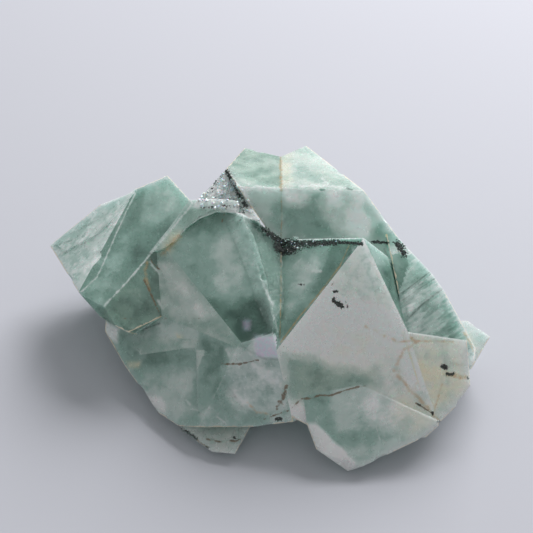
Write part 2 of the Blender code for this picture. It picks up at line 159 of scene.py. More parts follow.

# areas: (faces they lie on, outline, softness in mm, amount)
# tone areas: partly the stone's own milky and dark green patches, partly painted light and shade that
# brighten or darken parts of faces
toneAndShadingAreas = [
    (("broken",), [(40, 246), (54, 228), (137, 188), (120, 206), (98, 222), (82, 236)], 0.45, -0.25),
    (("broken",), [(86, 262), (118, 214), (130, 196), (117, 234), (100, 274), (86, 286)], 0.9, 0.25),
    (("long",), [(150, 178), (166, 172), (196, 204), (178, 222), (150, 222), (142, 208)], 1.7, 0.4),
    (("long",), [(112, 246), (132, 232), (128, 262), (106, 288), (92, 286)], 1.2, 0.3),
    (("long",), [(150, 226), (176, 222), (164, 240), (140, 262), (120, 280), (128, 254)], 1.2, -0.25),
    (("shaded",), [(120, 296), (144, 268), (150, 292), (134, 306)], 1.0, 0.2),
    (("great",), [(206, 238), (234, 232), (248, 262), (244, 290), (214, 284)], 2.2, 0.28),
    (("great",), [(182, 286), (206, 298), (232, 302), (266, 292), (284, 336), (245, 349),
     (214, 322)], 1.2, -0.45),
    (("great",), [(228, 312), (262, 300), (280, 334), (246, 348)], 1.2, -0.35),
    (("great",), [(190, 222), (214, 212), (236, 214), (214, 230), (196, 238)], 1.0, -0.2),
    (("great", "band", "side"), [(158, 262), (168, 264), (214, 314), (204, 320), (176, 296)], 0.8, 0.35),
    (("side", "lower"), [(150, 262), (158, 268), (160, 286), (152, 282)], 0.5, 0.3),
    (("side",), [(164, 300), (190, 306), (210, 318), (176, 320)], 0.9, 0.25),
    (("strip",), [(240, 212), (262, 226), (281, 242), (281, 262), (262, 240)], 0.9, -0.25),
    (("upperLeft", "crownLeft"), [(232, 168), (246, 180), (282, 186), (282, 194), (240, 190)], 0.8, 0.3),
    (("upperLeft",), [(268, 206), (282, 206), (282, 236), (270, 228)], 1.2, -0.3),
    (("upperRight",), [(326, 190), (350, 190), (376, 218), (366, 236), (346, 230), (334, 208)], 1.6, 0.4),
    (("upperRight",), [(284, 190), (306, 190), (302, 204), (286, 206)], 0.9, 0.35),
    (("upperRight",), [(284, 208), (312, 200), (330, 226), (338, 240), (284, 240)], 1.2, -0.4),
    (("upperRight",), [(368, 210), (408, 244), (374, 244)], 1.0, -0.35),
    (("inner",), [(283, 262), (330, 246), (306, 300), (284, 322), (282, 300)], 1.0, 0.42),
    (("inner",), [(308, 262), (330, 258), (324, 272), (306, 276)], 1.2, 0.1),
    (("white",), [(350, 240), (372, 262), (390, 300), (372, 312), (340, 300), (334, 276)], 1.6, -0.06),
    (("white",), [(300, 318), (330, 296), (380, 310), (400, 338), (370, 352), (320, 348),
     (290, 344)], 2.2, 0.3),
    (("white",), [(284, 352), (300, 356), (330, 366), (372, 372), (378, 386), (340, 396), (296, 404),
     (284, 390)], 1.4, -0.8),
    (("white",), [(372, 362), (404, 372), (432, 412), (404, 404), (380, 390)], 2.0, -0.15),
    (("flank",), [(350, 236), (386, 246), (392, 262), (372, 262)], 1.0, 0.2),
    (("flank",), [(376, 270), (392, 268), (404, 322), (392, 306)], 0.9, -0.25),
    (("upperRight", "striped"), [(396, 250), (412, 258), (434, 272), (402, 296), (396, 270)], 1.0, -0.05),
    (("striped",), [(404, 300), (438, 276), (442, 284), (408, 318)], 0.7, 0.2),
    (("middle",), [(444, 300), (462, 330), (454, 346), (440, 330)], 1.2, -0.2),
    (("middle",), [(412, 330), (440, 322), (450, 344), (414, 342)], 1.0, 0.1),
    (("small",), [(470, 324), (480, 326), (490, 336), (480, 342)], 0.6, -0.35),
    (("front",), [(294, 396), (326, 390), (336, 424), (326, 432), (304, 430)], 1.2, -0.42),
    (("front",), [(350, 396), (400, 400), (420, 420), (380, 414)], 2.0, 0.3),
    (("front",), [(330, 436), (372, 430), (402, 438), (326, 452)], 1.4, -0.44),
    (("front",), [(294, 424), (316, 426), (334, 444), (354, 464), (346, 476), (314, 456)], 0.5, 1.3),
    (("front",), [(318, 442), (336, 446), (354, 462), (346, 474)], 0.7, 0.3),
    (("lower", "heel"), [(222, 368), (240, 362), (254, 337), (283, 338), (290, 367), (286, 408),
     (257, 413), (240, 403), (230, 386)], 0.5, 0.32),
    (("lower",), [(140, 350), (182, 346), (194, 352), (192, 366), (140, 368)], 1.0, -0.35),
    (("lower",), [(198, 336), (234, 338), (224, 372), (198, 376)], 1.2, -0.4),
    (("lower",), [(116, 330), (132, 334), (134, 352), (118, 346)], 0.8, -0.25),
    (("lower",), [(172, 326), (196, 326), (196, 344), (168, 346)], 1.4, 0.25),
    (("lower",), [(140, 380), (192, 376), (192, 414), (168, 418), (144, 398)], 1.6, 0.25),
    (("lower",), [(142, 392), (160, 398), (168, 414), (150, 408)], 0.6, 0.45),
    (("lower",), [(198, 376), (222, 378), (236, 404), (198, 410)], 1.0, -0.2),
    (("lower", "heel"), [(198, 410), (250, 410), (236, 424), (206, 430)], 1.0, 0.15),
    (("lower", "heel"), [(230, 388), (252, 400), (246, 412), (226, 398)], 0.6, 0.4),
    (("lower", "heel"), [(252, 364), (272, 370), (282, 386), (264, 384)], 0.7, 0.45),
    (("lower", "heel"), [(254, 388), (276, 386), (272, 406), (256, 406)], 0.8, -0.35),
    (("lower", "heel"), [(268, 354), (288, 352), (288, 372), (262, 366)], 0.7, -0.3),
    (("lower", "heel"), [(226, 348), (242, 350), (244, 364), (228, 366)], 0.6, 0.4),
    (("lower", "heel", "great"), [(256, 336), (282, 336), (280, 357), (257, 356)], 0.25, 0.6),
    (("lobe",), [(206, 428), (250, 426), (236, 448), (212, 448)], 1.2, -0.1),
    (None, [(97, 318), (119, 328), (118, 343), (107, 338)], 0.35, 0.6),
    (None, [(191, 208), (226, 167), (245, 194), (262, 224), (238, 214), (216, 209)], 0.25, 0.45),
    (None, [(192, 208), (212, 210), (250, 206), (236, 196), (210, 200)], 0.4, -0.3),
]

frostAreas = [
    (None, [(222, 368), (240, 362), (254, 337), (283, 338), (288, 367), (286, 390), (283, 408),
     (257, 413), (240, 403), (230, 386)], 0.9, 0.4),
    (None, [(191, 208), (226, 167), (245, 194), (262, 224), (238, 214), (216, 209)], 0.3, 0.9),
    (("white",), [(350, 238), (364, 240), (378, 282), (368, 302), (352, 282)], 0.7, 0.7),
    (("crownLeft",), [(244, 150), (281, 158), (281, 170), (242, 164)], 0.8, 0.2),
    (("great", "strip"), [(226, 214), (244, 214), (282, 332), (270, 330)], 0.7, 0.35),
]

warmAreas = [
    (("stained",), [(402, 348), (430, 352), (462, 364), (468, 386), (446, 408), (424, 400), (404, 388),
     (392, 366)], 1.4, 0.35),
    (("stained",), [(404, 352), (420, 356), (424, 380), (408, 378)], 1.2, 0.3),
    (("stained", "white", "front"), [(398, 392), (430, 408), (440, 422), (408, 438), (392, 416)], 1.4, 0.4),
    (("white",), [(320, 326), (372, 330), (398, 352), (372, 366), (324, 358)], 2.4, 0.2),
    (("band", "great"), [(172, 232), (182, 232), (174, 248), (160, 262), (158, 254)], 0.6, 0.55),
    (("lower", "side"), [(144, 264), (150, 264), (150, 290), (142, 284)], 0.5, 0.5),
    (("crownRight", "upperRight"), [(281, 152), (290, 152), (292, 180), (281, 188)], 0.7, 0.35),
    (("small",), [(462, 332), (470, 334), (478, 352), (468, 350)], 0.5, 0.5),
    (("lower",), [(126, 361), (140, 362), (139, 367), (128, 367)], 0.3, 1.0),
    (("lower",), [(177, 334), (183, 335), (183, 342), (178, 342)], 0.3, 1.0),
]

fanAreas = [    # fine streaks run across these
    (("striped", "middle"), [(396, 288), (436, 266), (466, 300), (466, 346), (406, 346)], 0.8, 1.0),
    (("upperRight", "striped"), [(394, 246), (410, 246), (436, 274), (402, 300)], 1.2, 0.6),
    (("broken",), [(44, 244), (138, 188), (118, 234), (82, 292)], 0.6, 0.8),
    (("front",), [(330, 392), (410, 398), (414, 430), (352, 440)], 2.0, 0.45),
]

sheenAreas = [    # a patch with a faint rainbow
    (("lower", "heel", "great"), [(254, 336), (283, 336), (281, 358), (256, 357)], 0.25, 1.0),
    (("great", "lower"), [(243, 320), (250, 320), (250, 330), (244, 330)], 0.3, 0.8),
]

# strokes: (line, half width in mm, strength)
# pale strokes: painted highlights and glints along edges and ridges, together with the stone's own white
# streaks and specks
glintAndStreakStrokes = [
    ([(193, 203), (170, 231), (148, 257), (126, 283), (104, 306)], 0.13, 0.85),
    ([(137, 190), (128, 208), (117, 232), (104, 262), (97, 277), (81, 292)], 0.10, 0.85),
    ([(152, 257), (163, 271), (178, 285), (196, 301), (215, 317)], 0.10, 0.5),
    ([(176, 240), (186, 228), (200, 218), (217, 212), (238, 213)], 0.08, 0.75),
    ([(242, 213), (250, 238), (256, 262), (263, 284), (272, 308), (278, 332)], 0.08, 0.6),
    ([(263, 284), (269, 297), (273, 305)], 0.20, 0.9),
    ([(224, 226), (240, 262), (256, 300), (268, 326)], 0.10, 0.35),
    ([(250, 208), (257, 214), (263, 222)], 0.28, 0.9),
    ([(315, 199), (322, 209), (332, 220), (342, 229)], 0.09, 0.75),
    ([(313, 271), (321, 271)], 0.22, 1.0),
    ([(298, 262), (302, 258)], 0.12, 0.7),
    ([(248, 184), (262, 187), (281, 189)], 0.2, 0.7),
    ([(300, 186), (320, 185), (345, 188)], 0.24, 0.8),
    ([(322, 178), (328, 184)], 0.15, 0.9),
    ([(158, 300), (163, 309)], 0.2, 0.9),
    ([(150, 262), (154, 268), (160, 274)], 0.18, 0.7),
    ([(376, 427), (378, 433), (380, 440)], 0.08, 0.9),
    ([(409, 422), (411, 430), (412, 438)], 0.10, 0.9),
    ([(398, 428), (399, 433), (400, 438)], 0.08, 0.8),
    ([(384, 432), (385, 437)], 0.07, 0.7),
    ([(128, 328), (150, 330), (162, 326)], 0.10, 0.5),
    ([(160, 366), (154, 378), (150, 390)], 0.06, 0.5),
    ([(217, 417), (222, 420), (226, 424)], 0.13, 1.0),
    ([(186, 400), (190, 405)], 0.12, 1.0),
    ([(178, 402), (182, 410)], 0.08, 0.8),
    ([(192, 409), (200, 411)], 0.10, 0.8),
    ([(226, 350), (230, 356)], 0.2, 0.8),
    ([(233, 350), (237, 360)], 0.15, 0.7),
    ([(352, 246), (358, 258), (362, 272), (372, 284)], 0.35, 0.5),
    ([(403, 296), (418, 285), (434, 273)], 0.09, 0.85),
    ([(403, 304), (422, 291), (439, 281)], 0.14, 0.7),
    ([(405, 312), (426, 295), (441, 286)], 0.22, 0.55),
    ([(413, 324), (430, 308), (448, 294)], 0.10, 0.6),
    ([(424, 330), (440, 314), (452, 304)], 0.07, 0.5),
    ([(284, 342), (288, 352), (294, 360)], 0.25, 0.7),
    ([(294, 334), (298, 330)], 0.25, 0.9),
    ([(305, 326), (312, 322)], 0.2, 0.6),
    ([(307, 424), (313, 438), (318, 450)], 0.15, 0.7),
    ([(318, 450), (332, 461), (346, 470)], 0.2, 0.9),
    ([(166, 178), (180, 190), (192, 203)], 0.12, 0.6),
    ([(58, 250), (74, 244), (90, 230)], 0.12, 0.35),
    ([(66, 262), (84, 250), (104, 232), (122, 212)], 0.12, 0.4),
    ([(76, 274), (92, 262), (108, 246)], 0.10, 0.35),
    ([(72, 270), (76, 272)], 0.2, 0.8),
]

warmStrokes = [
    ([(281, 156), (281, 172), (281, 190)], 0.22, 0.8),
    ([(281, 190), (282, 214), (281, 236)], 0.09, 0.7),
    ([(281, 250), (281, 290), (280, 338)], 0.09, 0.75),
    ([(281, 342), (300, 316), (322, 290), (340, 266), (350, 243)], 0.10, 0.9),
    ([(178, 236), (170, 246), (162, 254)], 0.4, 0.7),
    ([(147, 262), (145, 276), (150, 290)], 0.3, 0.7),
    ([(412, 346), (404, 350), (398, 362), (394, 370), (400, 371)], 0.25, 0.7),
    ([(398, 342), (408, 341), (430, 341), (453, 342)], 0.16, 0.8),
    ([(411, 338), (416, 342)], 0.25, 1.0),
    ([(398, 376), (412, 392), (428, 408), (438, 420)], 0.30, 0.8),
    ([(442, 384), (438, 398), (434, 412)], 0.16, 0.7),
    ([(446, 374), (456, 376), (466, 377)], 0.35, 0.8),
    ([(420, 376), (414, 390), (408, 402)], 0.25, 0.4),
    ([(366, 326), (380, 334), (398, 342)], 0.25, 0.6),
    ([(464, 333), (470, 342), (474, 352)], 0.16, 0.85),
    ([(456, 364), (460, 366), (464, 364)], 0.2, 0.7),
    ([(248, 402), (256, 412), (270, 414)], 0.2, 0.6),
]

crackStrokes = [
    ([(144, 280), (150, 292), (155, 303), (161, 316)], 0.12, 0.8),
    ([(150, 257), (152, 262), (160, 270)], 0.10, 0.7),
    ([(302, 399), (312, 398), (320, 395), (328, 396), (338, 393), (346, 390), (358, 387)], 0.14, 0.85),
    ([(358, 387), (366, 386)], 0.08, 0.6),
    ([(262, 420), (278, 414), (290, 410), (300, 400)], 0.10, 0.7),
    ([(286, 386), (283, 398), (278, 407)], 0.32, 0.7),
    ([(206, 439), (214, 441), (222, 442)], 0.10, 0.85),
    ([(230, 441), (236, 441), (241, 439)], 0.12, 0.9),
    ([(197, 440), (202, 444), (207, 447)], 0.16, 0.9),
    ([(416, 403), (424, 408), (432, 413)], 0.12, 0.9),
    ([(161, 318), (185, 319), (210, 318)], 0.07, 0.5),
    ([(96, 313), (112, 318), (140, 319), (160, 318)], 0.06, 0.4),
    ([(222, 364), (240, 364), (258, 360)], 0.14, 0.75),
    ([(222, 222), (226, 208)], 0.12, 0.5),
    ([(102, 326), (112, 342), (124, 364)], 0.08, 0.8),
    ([(330, 288), (334, 282)], 0.12, 0.6),
]

# painted shade in the valleys and creases between facets, together with dark green striations
shadeAndStriaStrokes = [
    ([(178, 237), (187, 226), (201, 216), (217, 209), (238, 211)], 0.13, 0.6),
    ([(197, 346), (197, 380), (197, 412)], 0.12, 0.4),
    ([(104, 318), (118, 327), (140, 331), (160, 323)], 0.16, 0.7),
    ([(242, 346), (262, 358), (282, 360)], 0.25, 0.5),
    ([(222, 378), (232, 392), (240, 406), (256, 414)], 0.25, 0.5),
    ([(384, 249), (392, 268), (403, 322)], 0.14, 0.6),
    ([(402, 293), (418, 281), (431, 271)], 0.12, 0.8),
    ([(403, 300), (422, 287), (437, 277)], 0.09, 0.7),
    ([(406, 321), (424, 303), (445, 287)], 0.16, 0.75),
    ([(416, 328), (434, 311), (449, 299)], 0.10, 0.5),
    ([(430, 332), (444, 318), (454, 308)], 0.08, 0.4),
    ([(300, 192), (298, 206), (290, 224)], 0.25, 0.4),
    ([(281, 210), (286, 216), (284, 222)], 0.3, 0.5),
    ([(60, 238), (84, 228), (110, 212)], 0.14, 0.5),
    ([(54, 246), (72, 240)], 0.16, 0.6),
    ([(346, 188), (352, 190)], 0.15, 0.8),
    ([(270, 240), (276, 252), (279, 262)], 0.25, 0.4),
    ([(116, 336), (124, 350), (132, 358)], 0.2, 0.5),
    ([(300, 366), (330, 370), (366, 372)], 0.5, 0.25),
]

darkStrokes = [
    ([(226, 170), (232, 180), (238, 194), (246, 206)], 0.28, 0.8),
    ([(200, 196), (212, 184), (224, 170)], 0.18, 0.7),
    ([(200, 208), (214, 207), (226, 206), (240, 207)], 0.2, 0.5),
    ([(240, 207), (244, 212), (240, 220)], 0.2, 0.5),
    ([(263, 228), (268, 232), (274, 237), (280, 241)], 0.36, 1.0),
    ([(279, 247), (286, 250), (293, 248)], 0.62, 1.0),
    ([(282, 242), (300, 243), (322, 243), (336, 242)], 0.36, 1.0),
    ([(336, 242), (350, 243), (362, 244)], 0.2, 0.95),
    ([(372, 242), (380, 242), (388, 243)], 0.18, 0.95),
    ([(397, 243), (402, 249), (404, 254)], 0.45, 0.8),
    ([(333, 300), (338, 304), (342, 306)], 0.26, 1.0),
    ([(334, 292), (337, 291)], 0.18, 0.8),
    ([(345, 302), (348, 308)], 0.14, 0.7),
    ([(348, 296), (352, 298)], 0.10, 0.5),
    ([(442, 366), (446, 368)], 0.26, 1.0),
    ([(447, 374), (453, 374)], 0.2, 1.0),
    ([(467, 377), (468, 378)], 0.15, 1.0),
    ([(432, 412), (433, 414)], 0.14, 1.0),
    ([(418, 404), (420, 405)], 0.12, 0.9),
    ([(438, 421), (440, 422)], 0.14, 1.0),
    ([(276, 419.5), (282, 419)], 0.18, 1.0),
    ([(234, 437), (235, 438)], 0.14, 1.0),
    ([(166, 422), (174, 425)], 0.16, 1.0),
    ([(178, 427), (187, 433), (196, 439)], 0.22, 1.0),
    ([(206, 447), (208, 448)], 0.16, 1.0),
    ([(298, 284), (304, 285)], 0.14, 0.6),
    ([(336, 298), (340, 302)], 0.12, 0.5),
]


def places(mesh, kind="co"):    # every vertex's place in mm, or its normal
    flat = np.empty(len(mesh.vertices) * 3, dtype=np.float32)
    mesh.vertices.foreach_get(kind, flat)
    return flat.reshape(-1, 3).astype(float) / (mm if kind == "co" else 1)


def mergedMesh(name, source):
    bm = bmesh.new()
    bm.from_mesh(source.data)
    bmesh.ops.remove_doubles(bm, verts=bm.verts[:], dist=stone["mergeGap"] * mm)
    flat = math.radians(stone["flatTurn"][0])
    bmesh.ops.dissolve_limit(bm, angle_limit=flat, verts=bm.verts[:], edges=bm.edges[:])
    bmesh.ops.triangulate(bm, faces=bm.faces[:])
    bmesh.ops.dissolve_degenerate(bm, dist=stone["mergeGap"] * mm, edges=bm.edges[:])
    mesh = bpy.data.meshes.new(name)
    bm.to_mesh(mesh)
    bm.free()
    return mesh


def mainEdges(mesh, longer, sharper):    # convex edges: those of the rim, and those between upper faces
    bm = bmesh.new()
    bm.from_mesh(mesh)
    flat = math.radians(stone["flatTurn"][1])
    bmesh.ops.dissolve_limit(bm, angle_limit=flat, verts=bm.verts[:], edges=bm.edges[:])
    kept = [edge for edge in bm.edges if len(edge.link_faces) == 2 and edge.is_convex
            and edge.calc_length() > longer * mm and edge.calc_face_angle(0) > math.radians(sharper)
            and min(face.calc_area() for face in edge.link_faces) > stone["broad"] * mm * mm]
    outer = [edge for edge in kept if min(face.normal.z for face in edge.link_faces) < stone["rimSlope"]]
    inner = [edge for edge in kept if edge not in set(outer)]
    lines = [[np.array([vert.co / mm for vert in edge.verts]) for edge in part] for part in (outer, inner)]
    bm.free()
    return lines


def nearLines(points, lines):
    best = np.full(len(points), 99.0)
    for line in lines:
        best = np.minimum(best, awayFromLine(points, line, reach=1.0))
    return best


def divide(mesh, longestAt, rounds):    # longestAt gives each vertex the longest edge it may have, in mm
    for _ in range(rounds):
        allowed = longestAt(mesh) * mm
        bm = bmesh.new()
        bm.from_mesh(mesh)
        bm.verts.ensure_lookup_table()
        long = [edge for edge in bm.edges
                if edge.calc_length() > min(allowed[edge.verts[0].index], allowed[edge.verts[1].index])]
        if long:
            bmesh.ops.subdivide_edges(bm, edges=long, cuts=1)
            bmesh.ops.triangulate(bm, faces=bm.faces[:])
            bm.to_mesh(mesh)
        bm.free()
        if not long:
            break


def coarseAll(mesh):    # longer edges underneath
    upward = places(mesh, "normal")[:, 2] > -0.1
    return np.where(upward, stone["topEdge"], stone["baseEdge"])


def fineAlong(mesh):    # short edges where a stroke runs
    spots = toPhoto(places(mesh))
    facing = places(mesh, "normal") @ towardEye > 0.05
    longest = np.full(len(spots), 99.0)
    for line, half, _ in strokes:
        reach = (half * 2 + stone["fineBeside"]) / camera["mmPerPixel"]
        near = facing & (awayFromLine(spots, line, reach + 1) < reach)
        longest[near] = np.minimum(longest[near], np.clip(half * 1.3, *stone["fineEdge"]))
    return longest


def carry(mesh, name, values):    # one value for each corner of each triangle
    layer = mesh.attributes.new(name, "FLOAT", "CORNER")
    layer.data.foreach_set("value", np.asarray(values, dtype=np.float32))


bodyMesh = mergedMesh("cluster", cadStone)
rims, ridges = mainEdges(bodyMesh, *stone["mainEdge"])
strokes = glintAndStreakStrokes + warmStrokes + crackStrokes + shadeAndStriaStrokes + darkStrokes
turn = math.radians(camera["lookDown"])
towardEye = np.array((0.0, -math.cos(turn), math.sin(turn)))
divide(bodyMesh, coarseAll, 9)
divide(bodyMesh, fineAlong, 3)
print("stone divided:", len(bodyMesh.polygons), "triangles")

# which large face each triangle lies on
count = len(bodyMesh.polygons)
faceNormals = np.empty(count * 3, dtype=np.float32)
bodyMesh.polygons.foreach_get("normal", faceNormals)
faceNormals = faceNormals.reshape(-1, 3).astype(float)
cornerOf = np.empty(count * 3, dtype=np.int32)
bodyMesh.loops.foreach_get("vertex_index", cornerOf)
points = places(bodyMesh)
middles = points[cornerOf].reshape(-1, 3, 3).mean(1)
bestCost = np.full(count, 1.0)
facetOf = np.full(count, -1)
for index, (name, (pixel, _, _, _)) in enumerate(facets.items()):
    hit, normal = seen(*pixel)
    if hit is None:
        print("no face is seen at", name)
        continue
    tilt = np.degrees(np.arccos(np.clip(faceNormals @ np.array(normal), -1, 1)))
    off = np.abs((middles - np.array(hit) / mm) @ np.array(normal))
    cost = tilt / stone["sameFace"][0] + off / stone["sameFace"][1]
    facetOf = np.where(cost < bestCost, index, facetOf)
    bestCost = np.minimum(bestCost, cost)
facetNames = list(facets)

# a small face takes after the large one next to it
large = np.nonzero(facetOf >= 0)[0][::3]
tree = KDTree(len(large))
for index in large:
    tree.insert(middles[index], index)
tree.balance()
for index in np.nonzero((facetOf < 0) & (faceNormals @ towardEye > 0.02))[0]:
    _, nearest, away = tree.find(middles[index])
    if away < stone["borrow"]:
        facetOf[index] = facetOf[nearest]
spots = toPhoto(points)
facing = smooth(0.02, 0.12, np.repeat(faceNormals @ towardEye, 3))
facetAt = np.repeat(facetOf, 3)


def base(place, other):    # a facet's own value, for every corner
    values = np.array([setting[place] for setting in facets.values()] + [other])
    return values[facetAt]


def paintAreas(areas, total):    # adds each area's amount, on its own facets alone
    for names, outline, soft, amount in areas:
        rim = awayFromRim(spots, outline, soft / camera["mmPerPixel"] + 2) * camera["mmPerPixel"]
        inside = amount * (1 - smooth(-soft, soft, rim))
        allowed = np.isin(facetAt, [facetNames.index(name) for name in names]) if names else facing
        total = total + inside[cornerOf] * allowed
    return total


def paintStrokes(lines):    # fades from the middle of a line to twice its half width
    total = np.zeros(len(points))
    for line, half, strength in lines:
        away = awayFromLine(spots, line, (half * 2) / camera["mmPerPixel"] + 1) * camera["mmPerPixel"]
        total = np.maximum(total, strength * np.clip(1 - away / (half * 2), 0, 1))
    return total[cornerOf] * facing


# tone: the stone's own zoning together with painted light and shade per face
carry(bodyMesh, "tone", np.clip(paintAreas(toneAndShadingAreas, base(1, stone["otherTone"])), -1, 1))
carry(bodyMesh, "frost", np.clip(paintAreas(frostAreas, base(2, stone["otherFrost"])), 0, 1))
carry(bodyMesh, "warm", np.clip(paintAreas(warmAreas, base(3, 0.0)), 0, 1))
carry(bodyMesh, "fan", np.clip(paintAreas(fanAreas, np.zeros(count * 3)), 0, 1))
carry(bodyMesh, "sheen", np.clip(paintAreas(sheenAreas, np.zeros(count * 3)), 0, 1))
# dark green strokes: painted crease shade, together with dark striations
# pale strokes: partly painted highlights and glints, partly white streaks
for name, lines in (("pale", glintAndStreakStrokes), ("rust", warmStrokes), ("crack", crackStrokes),
                    ("shadeAndStria", shadeAndStriaStrokes), ("dark", darkStrokes)):
    carry(bodyMesh, name, paintStrokes(lines))
# rim and ridge: painted highlights along the main edges, where they would catch the light
carry(bodyMesh, "rim", np.clip(1 - nearLines(points, rims) / stone["highlightWidth"], 0, 1)[cornerOf])
carry(bodyMesh, "ridge", np.clip(1 - nearLines(points, ridges) / stone["highlightWidth"], 0, 1)[cornerOf])
body = bpy.data.objects.new("cluster", bodyMesh)
bpy.context.scene.collection.objects.link(body)
print("stone painted")


# materials
def group(name, inputs, outputs):
    tree = bpy.data.node_groups.new(name, "ShaderNodeTree")
    for label, kind, value in inputs:
        socket = tree.interface.new_socket(label, in_out="INPUT", socket_type=kind)
        socket.default_value = value
    for label, kind in outputs:
        tree.interface.new_socket(label, in_out="OUTPUT", socket_type=kind)
    return tree, tree.nodes.new("NodeGroupInput"), tree.nodes.new("NodeGroupOutput")


def add(tree, kind, **settings):
    node = tree.nodes.new(kind)
    for key, value in settings.items():
        if hasattr(node, key):
            setattr(node, key, value)
        else:
            node.inputs[key.replace("_", " ")].default_value = value
    return node


def calculate(tree, how, a, b, clamp=False):
    node = add(tree, "ShaderNodeMath", operation=how, use_clamp=clamp)
    for socket, value in zip(node.inputs, (a, b)):
        if isinstance(value, (int, float)):
            socket.default_value = value
        else:
            tree.links.new(value, socket)
    return node.outputs[0]


def blend(tree, factor, a, b, how="MIX"):
    node = add(tree, "ShaderNodeMix", data_type="RGBA", blend_type=how)
    for socket, value in ((node.inputs[0], factor), (node.inputs[6], a), (node.inputs[7], b)):
        if isinstance(value, tuple):
            socket.default_value = (*value, 1.0)
        elif isinstance(value, (int, float)):
            socket.default_value = value
        else:
            tree.links.new(value, socket)
    return node.outputs[2]


def stretch(tree, value, low, high, to=(0.0, 1.0)):
    node = add(tree, "ShaderNodeMapRange", interpolation_type="SMOOTHSTEP")
    node.inputs["From Min"].default_value = low
    node.inputs["From Max"].default_value = high
    node.inputs["To Min"].default_value = to[0]
    node.inputs["To Max"].default_value = to[1]
    tree.links.new(value, node.inputs["Value"])
    return node.outputs["Result"]


def field(tree, name):
    return add(tree, "ShaderNodeAttribute", attribute_name=name).outputs["Fac"]


def mottleGroup():    # cloudy patches in the piece's own space
    tree, source, sink = group("mottle", [
        ("Size", "NodeSocketFloat", 2.0), ("Detail", "NodeSocketFloat", 6.0),
        ("Low", "NodeSocketFloat", 0.4), ("High", "NodeSocketFloat", 0.6)],
        [("Mask", "NodeSocketFloat"), ("Raw", "NodeSocketFloat")])
    place = add(tree, "ShaderNodeTexCoord").outputs["Object"]
    scale = calculate(tree, "DIVIDE", 1000.0, source.outputs["Size"])
    noise = add(tree, "ShaderNodeTexNoise")
    tree.links.new(place, noise.inputs["Vector"])
    tree.links.new(scale, noise.inputs["Scale"])
    tree.links.new(source.outputs["Detail"], noise.inputs["Detail"])
    ramp = add(tree, "ShaderNodeMapRange", interpolation_type="SMOOTHSTEP")
    tree.links.new(noise.outputs["Fac"], ramp.inputs["Value"])
    tree.links.new(source.outputs["Low"], ramp.inputs["From Min"])
    tree.links.new(source.outputs["High"], ramp.inputs["From Max"])
    tree.links.new(ramp.outputs["Result"], sink.inputs["Mask"])
    tree.links.new(noise.outputs["Fac"], sink.inputs["Raw"])
    return tree


mottle = mottleGroup()


def mottled(tree, size, detail=6.0, low=0.4, high=0.6, out="Mask"):
    node = add(tree, "ShaderNodeGroup")
    node.node_tree = mottle
    node.inputs["Size"].default_value = size
    node.inputs["Detail"].default_value = detail
    node.inputs["Low"].default_value = low
    node.inputs["High"].default_value = high
    return node.outputs[out]


def streaked(tree, bearing, length, width):    # noise drawn out along one bearing
    place = add(tree, "ShaderNodeMapping", vector_type="TEXTURE")
    place.inputs["Rotation"].default_value = (0.0, 0.0, math.radians(90 - bearing))
    place.inputs["Scale"].default_value = (length * mm, width * mm, width * mm)
    tree.links.new(add(tree, "ShaderNodeTexCoord").outputs["Object"], place.inputs["Vector"])
    noise = add(tree, "ShaderNodeTexNoise", Scale=1.0, Detail=4.0)
    tree.links.new(place.outputs["Vector"], noise.inputs["Vector"])
    return noise.outputs["Fac"]


def toneRamp(tree, value, stops):
    ramp = tree.nodes.new("ShaderNodeValToRGB")
    ramp.color_ramp.interpolation = "EASE"
    while len(ramp.color_ramp.elements) < len(stops):
        ramp.color_ramp.elements.new(0.5)
    for element, (place, colour) in zip(ramp.color_ramp.elements, stops):
        element.position = place
        element.color = (*colour, 1.0)
    tree.links.new(value, ramp.inputs["Fac"])
    return ramp.outputs["Color"]


def material(name):
    item = bpy.data.materials.new(name)
    item.use_nodes = True
    tree = item.node_tree
    return item, tree, tree.nodes["Principled BSDF"], tree.nodes["Material Output"]


